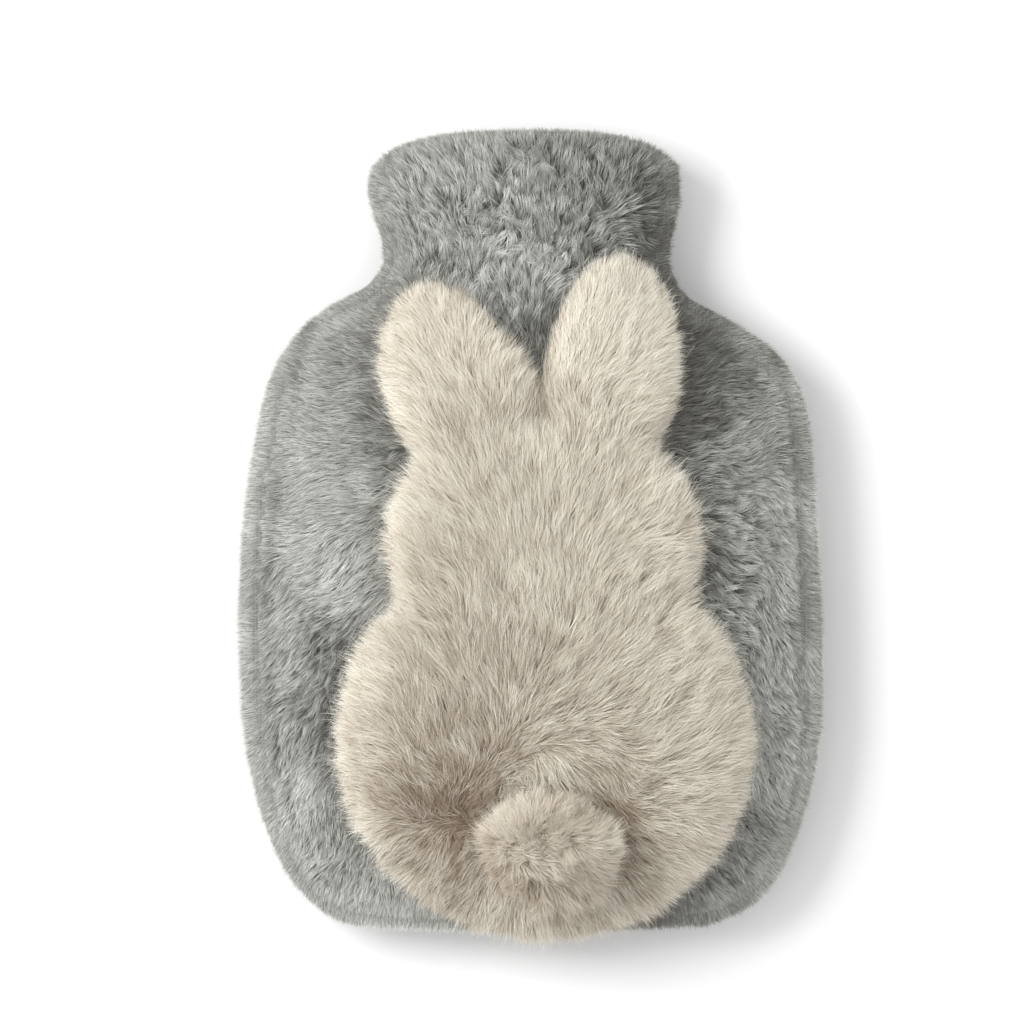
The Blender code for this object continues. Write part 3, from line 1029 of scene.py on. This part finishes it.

# %% [markdown]
# ## Cream pile
# The rabbit's pile is long and silky. It fans out from low on its back, lies flat, and hangs
# over the cut edge all round. The rows of its table are read like the grey ones, with a length in
# place of the tufts, and their tone holds painted shade as well, low where the fur parts by the
# tail. The creases are narrow valleys where the fur parts, with painted shade along them.

# %% Cream brushing
CREAM_BRUSH = (
    # x, y in pixels, direction in degrees, length in mm, tone with painted shade in it
    (388, 330, 158, 11, 0.7),
    (430, 290, 112, 12, 0.7),
    (475, 310, 88, 12, 0.7),
    (395, 400, 162, 12, 0.85),
    (440, 360, 122, 14, 0.7),
    (500, 350, 72, 13, 0.8),
    (400, 440, 162, 13, 0.85),
    (465, 420, 110, 15, 0.65),
    (505, 400, 80, 14, 0.7),
    (528, 380, 62, 12, 0.75),
    (543, 412, 80, 11, 0.55),
    (562, 300, 96, 11, 1.05),
    (620, 268, 80, 11, 1.1),
    (665, 300, 45, 12, 1.05),
    (556, 370, 93, 12, 0.95),
    (615, 340, 60, 14, 1.05),
    (672, 370, 25, 12, 0.95),
    (590, 420, 75, 14, 0.8),
    (620, 400, 55, 14, 0.85),
    (660, 430, 20, 13, 0.75),
    (392, 505, 160, 13, 0.95),
    (440, 500, 132, 16, 0.8),
    (500, 490, 108, 17, 0.75),
    (548, 480, 88, 17, 0.85),
    (600, 500, 62, 17, 0.75),
    (660, 500, 50, 15, 0.95),
    (700, 540, 22, 13, 0.8),
    (385, 585, 168, 12, 0.8),
    (440, 590, 128, 16, 0.6),
    (500, 590, 100, 18, 0.7),
    (545, 600, 84, 18, 0.75),
    (610, 600, 57, 17, 0.75),
    (660, 590, 45, 16, 0.75),
    (705, 600, 25, 13, 0.8),
    (345, 680, 178, 13, 0.95),
    (385, 680, 142, 15, 0.75),
    (440, 680, 118, 17, 0.55),
    (490, 685, 102, 18, 0.55),
    (518, 705, 82, 16, 0.6),
    (518, 742, 56, 11, 0.6),
    (550, 700, 55, 17, 0.6),
    (600, 690, 42, 17, 0.65),
    (670, 680, 42, 16, 0.8),
    (740, 680, 25, 12, 0.8),
    (340, 760, 184, 13, 0.85),
    (385, 750, 148, 15, 0.6),
    (420, 740, 122, 15, 0.45),
    (460, 760, 114, 14, 0.45),
    (440, 778, 118, 12, 0.35),
    (424, 796, 112, 12, 0.2),
    (500, 738, 106, 15, 0.5),
    (480, 748, 110, 15, 0.4),
    (506, 762, 54, 12, 0.5),
    (486, 772, 60, 12, 0.45),
    (468, 786, 66, 12, 0.35),
    (450, 808, 84, 11, 0.2),
    (522, 776, -80, 9, 0.5),
    (534, 724, 54, 12, 0.65),
    (556, 728, 25, 12, 0.6),
    (547, 757, -52, 12, 0.7),
    (578, 780, -55, 12, 0.3),
    (590, 738, -5, 14, 0.55),
    (610, 765, -38, 13, 0.35),
    (628, 735, 35, 15, 0.6),
    (642, 788, 32, 14, 0.6),
    (660, 750, 45, 16, 0.75),
    (700, 745, 35, 15, 0.8),
    (745, 750, 15, 12, 0.8),
    (402, 798, 142, 12, 0.35),
    (449, 834, 238, 11, 0.2),
    (603, 803, -45, 11, 0.1),
    (352, 820, 205, 13, 0.85),
    (380, 830, 208, 14, 0.9),
    (405, 838, 222, 12, 0.5),
    (440, 850, 230, 12, 0.45),
    (455, 880, 240, 12, 0.4),
    (680, 800, 12, 15, 0.75),
    (668, 832, -12, 14, 0.65),
    (732, 810, -12, 12, 0.7),
    (632, 850, -18, 10, 0.3),
    (660, 860, -30, 13, 0.68),
    (392, 875, 228, 15, 0.85),
    (432, 912, 245, 18, 0.85),
    (480, 930, 258, 17, 0.7),
    (530, 935, 270, 15, 0.6),
    (500, 900, 260, 14, 0.6),
    (570, 905, 292, 14, 0.5),
    (602, 885, -48, 13, 0.6),
    (640, 900, -52, 16, 0.55),
    (640, 922, -62, 18, 0.75),
    (698, 858, -38, 13, 0.65),
)
CREAM_REACH = 6.0 * MM
# Width in mm, how much painted shade darkens the hair, and places along the valley.
SHADED_CREASES = (
    (1.6, 0.35, ((534, 350), (540, 380), (545, 418))),  # between the ears
    (5.0, 0.20, ((512, 745), (480, 778), (440, 800))),  # below the left of the whorl
    (2.4, 0.30, ((482, 796), (460, 816), (453, 845), (458, 872))),  # left of the tail
    (2.8, 0.15, ((596, 798), (622, 812), (634, 845), (630, 875))),  # right of the tail
)

# %% [markdown]
# Where rows of the table disagree there is a whorl. Its hair turns at random and grows denser, so
# that no bare point shows. At the cut edge the hair is shorter, thinner and flatter, and some
# stray hairs stand out past the others. Tones differ most in the dark places, and least on the
# ears and along the edge. No pile grows where the tail is sewn on.

# %% Cream coats
CREAM_COATS = (
    # hairs a square mm, length as a share, width in mm, bands, tone, angle at the root
    (3.6, 0.65, 0.31, 1, -0.07, 40.0),
    (3.5, 1.0, 0.22, 2, 0.07, 42.0),
)
CREAM_ARCH = math.radians(34.0)
CREAM_TUFTS = (1.4 * MM, 5.0 * MM)
CREAM_TURNS = (22.0 * MM, 8.0 * MM)
CREAM_PATCHES = (11.0 * MM, 5.0 * MM)
CREAM_LOWEST_FACING = -0.2
WHORL = (0.3, 0.97)
EDGE_WIDE = 9.0 * MM
EARS = (45.0 * MM, 65.0 * MM)
STRAYS = 0.18
STRAYS_ABOVE = (-128.0 * MM, -110.0 * MM)
TAIL_PLACE = (6.1 * MM, -110.0 * MM)
TAIL_FOOT = (16.0 * MM, 12.0 * MM)


def beside_tail(middle):
    """0 where the tail is sewn on, 1 elsewhere."""
    across = (middle[:, 0] - TAIL_PLACE[0]) / TAIL_FOOT[0]
    along = (middle[:, 1] - TAIL_PLACE[1]) / TAIL_FOOT[1]
    return (np.hypot(across, along) > 1.0).astype(float)


def whorl_of(agreed):
    """1 where the table's rows disagree, 0 where they point one way."""
    return 1.0 - ease(agreed, *WHORL)


def near_edge(place):
    """1 at the rabbit's cut edge, 0 further in."""
    return 1.0 - ease(inside_cut(place[:, 0], place[:, 1]), 0.0, EDGE_WIDE)


def cream_coat(name, keep, coat, seed):
    """One coat of cream hair on the part of the rabbit that keep allows."""
    density, share, thin, bands, lighter, lift = coat
    random = np.random.default_rng(seed)
    corners, normals = surface_of(rabbit)
    middle = corners.mean(axis=1)
    facing = normals.mean(axis=1)[:, 2]
    agreed = brushed(CREAM_BRUSH, middle[:, 0], middle[:, 1], CREAM_REACH)[1]
    weight = (facing > CREAM_LOWEST_FACING) * keep(middle) * beside_tail(middle)
    weight = weight * (1.0 + 0.6 * whorl_of(agreed) + 0.3 * near_edge(middle))
    count = int(density * (area_of(corners) * weight).sum() / MM**2)
    root, normal = spread(corners, normals, weight, count, random)
    plan, agreed, columns = brushed(CREAM_BRUSH, root[:, 0], root[:, 1], CREAM_REACH)
    full, tone = columns.T
    edge = near_edge(root)
    hair = hairs(count, random)
    (to_small, small), (to_large, large) = [tufts(root, size, random) for size in CREAM_TUFTS]
    # the way each hair is combed
    long_turn, short_turn = CREAM_TURNS
    turn = 0.18 * ripples(root, long_turn, seed + 1) + 0.14 * ripples(root, short_turn, seed + 3)
    turn = turn + 0.17 * hair() + 0.12 * small() + 0.17 * large()
    turn += whorl_of(agreed) * (0.9 * large() + 0.9 * small())
    comb = np.column_stack([turned(plan, turn), -0.4 * edge])
    low = math.radians(lift) + 0.35 * edge + 0.12 * hair() + 0.06 * large()
    high = low + CREAM_ARCH + 0.2 * edge + 0.08 * hair()
    leans = (np.clip(low, 0.1, 1.45), np.clip(high, 0.3, 1.9))
    # how long it is, and how far its tip is drawn to its tufts
    length = full * share * MM * (1.0 + hair() * (0.10 + 0.10 * edge))
    length *= 1.0 - 0.32 * edge
    length *= 1.0 - 0.25 * (1.0 - edge)
    stray = (random.random(count) < STRAYS) * edge
    length *= 1.0 + 0.4 * stray * ease(root[:, 1], *STRAYS_ABOVE)
    gather = (0.24 * (1.0 - 0.5 * edge))[:, None] * to_small + 0.13 * to_large
    # how light it is
    over = root + comb * 0.5 * length[:, None]
    calm = (1.0 - 0.5 * ease(root[:, 1], *EARS)) * (1.0 - 0.45 * edge)
    calm *= 1.45 - 0.65 * tone
    shade = tone + lighter * calm + hair() * 0.17 * calm
    for number, patch in enumerate(CREAM_PATCHES, start=1):
        shade += 0.05 * ripples(root, patch, seed + 2 * number)
    # Painted shade along each crease.
    for wide, darker, line in SHADED_CREASES:
        shade -= darker * fading(off_line(over[:, 0], over[:, 1], line), wide * MM)
    shade += (0.16 * small() + 0.06 * large()) * calm
    shade = np.maximum(shade, tone - 0.45)
    width = thin * MM * random.uniform(0.8, 1.2, size=count) * (1.0 - 0.3 * edge - 0.2 * stray)
    sag = 0.05 + 0.25 * edge
    return pelt(name, root, normal, comb, length, leans, sag, gather, width, bands, shade, cream_hair, random)


# %% [markdown]
# The rabbit's pile is parted into head and body, again for meshes of a handy size.

# %% Cream pile
CREAM_SPLIT_Y = -25.0 * MM
CREAM_SEEDS = {"head": 141, "body": 150}

rabbit_pile = []
for coat_name, coat in zip(COAT_NAMES, CREAM_COATS):
    for part, seed in CREAM_SEEDS.items():

        def keep(middle):
            return (middle[:, 1] > CREAM_SPLIT_Y) == (part == "head")

        rabbit_pile.append(cream_coat(f"{part}_{coat_name}", keep, coat, seed))

# %% [markdown]
# ## Tail
# A pompom is yarn wound tightly and cut, so its hair stands out all round a firm core. Here it
# leans away from the middle, and its lower hairs are brushed down over the rabbit's own fringe.

# %% Tail brushing
TAIL_BRUSH = (
    # x, y in pixels, direction in degrees, length in mm, tone
    (508, 800, 105, 9, 0.65),
    (482, 825, 150, 14, 0.45),
    (476, 858, 195, 15, 0.5),
    (520, 828, 95, 9, 0.8),
    (498, 856, 200, 8, 0.2),
    (520, 876, 262, 9, 0.35),
    (500, 890, 252, 18, 0.6),
    (540, 895, 275, 19, 0.65),
    (578, 888, 302, 18, 0.55),
    (545, 835, 65, 9, 0.65),
    (553, 803, 78, 8, 0.6),
    (588, 812, 50, 7, 0.45),
    (602, 838, 22, 9, 1.0),
    (612, 866, -30, 11, 0.5),
    (565, 858, -8, 9, 0.6),
)
TAIL_REACH = 5.0 * MM

# %% [markdown]
# The solid stands for the pompom with its hair. Drawing it in towards its middle and its foot
# gives the core that the hair grows from.

# %% Tail core
CORE_SHARE = 0.68
CORE_HIGH = 0.62

tail_shape = welded_copy("tail")
tail_low, tail_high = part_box("tail")
tail_middle = (tail_low + tail_high) / 2
for vert in tail_shape.verts:
    height = tail_low.z + (vert.co.z - tail_low.z) * CORE_HIGH
    vert.co = tail_middle + (vert.co - tail_middle) * CORE_SHARE
    vert.co.z = height
tail = new_piece("tail_core", smoother(mesh_of("tail_core", tail_shape)), cream_backing)
tail.data.shade_smooth()

# %% [markdown]
# The hair of a pompom starts nearly upright and bends far over. Below the middle it bends and sags
# more, and on the steep sides its lengths differ more, so that the outline is ragged.

# %% Tail pile
TAIL_HAIRS = 30000
TAIL_SEED = 71
TAIL_LIFT = math.radians(32.0)
TAIL_ARCH = math.radians(48.0)
TAIL_THIN = 0.26 * MM
TAIL_TUFTS = (1.4 * MM, 3.2 * MM)
TAIL_LOWEST_FACING = -0.7
BELOW_MIDDLE = (-2.0 * MM, 8.0 * MM)


def tail_coat():
    """All hair of the tail."""
    random = np.random.default_rng(TAIL_SEED)
    corners, normals = surface_of(tail)
    weight = normals.mean(axis=1)[:, 2] > TAIL_LOWEST_FACING
    root, normal = spread(corners, normals, weight, TAIL_HAIRS, random)
    plan, agreed, columns = brushed(TAIL_BRUSH, root[:, 0], root[:, 1], TAIL_REACH)
    full, tone = columns.T
    whorl = whorl_of(agreed)
    steep = 1.0 - np.clip(normal[:, 2], 0.0, 1.0)
    below = ease(tail_middle.y - root[:, 1], *BELOW_MIDDLE)
    hair = hairs(TAIL_HAIRS, random)
    (to_small, small), (to_large, large) = [tufts(root, size, random) for size in TAIL_TUFTS]
    turn = 0.20 * hair() + 0.30 * small() + (0.65 + 0.8 * whorl) * large()
    comb = np.column_stack([turned(plan, turn), -0.1 - 0.9 * steep])
    low = TAIL_LIFT + 0.18 * hair() + 0.18 * large()
    high = low + TAIL_ARCH + 0.12 * hair() + 0.3 * below
    leans = (np.clip(low, 0.05, 1.0), np.clip(high, 0.2, 1.6))
    length = full * MM * (1.0 + hair() * (0.15 + 0.12 * steep))
    shade = tone - 0.18 + 0.12 * hair() + 0.08 * small()
    # Painted shade darkens the steep sides, and painted light lifts the whorl over the shade of its parting.
    shade += 0.08 * large() + 0.25 * whorl - 0.12 * steep
    gather = 0.30 * to_small + 0.20 * to_large
    width = TAIL_THIN * random.uniform(0.8, 1.2, size=TAIL_HAIRS) * (1.0 - 0.3 * steep)
    sag = 0.05 + 0.3 * steep + 0.8 * below
    name = "tail_pile"
    return pelt(name, root, normal, comb, length, leans, sag, gather, width, 2, shade, tail_hair, random)


tail_pile = tail_coat()

# %% [markdown]
# ## Pieces
# Each piece rides on the one body, and the imported solids are hidden.

# %% Facts
for piece in (front, *front_pile, back, *back_pile):
    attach(piece, "root")
for piece in (rabbit, *rabbit_pile):
    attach(piece, "root")
for piece in (tail, tail_pile):
    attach(piece, "root")
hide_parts("front_panel")
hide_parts("back_panel")
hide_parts("rabbit")
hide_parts("tail")
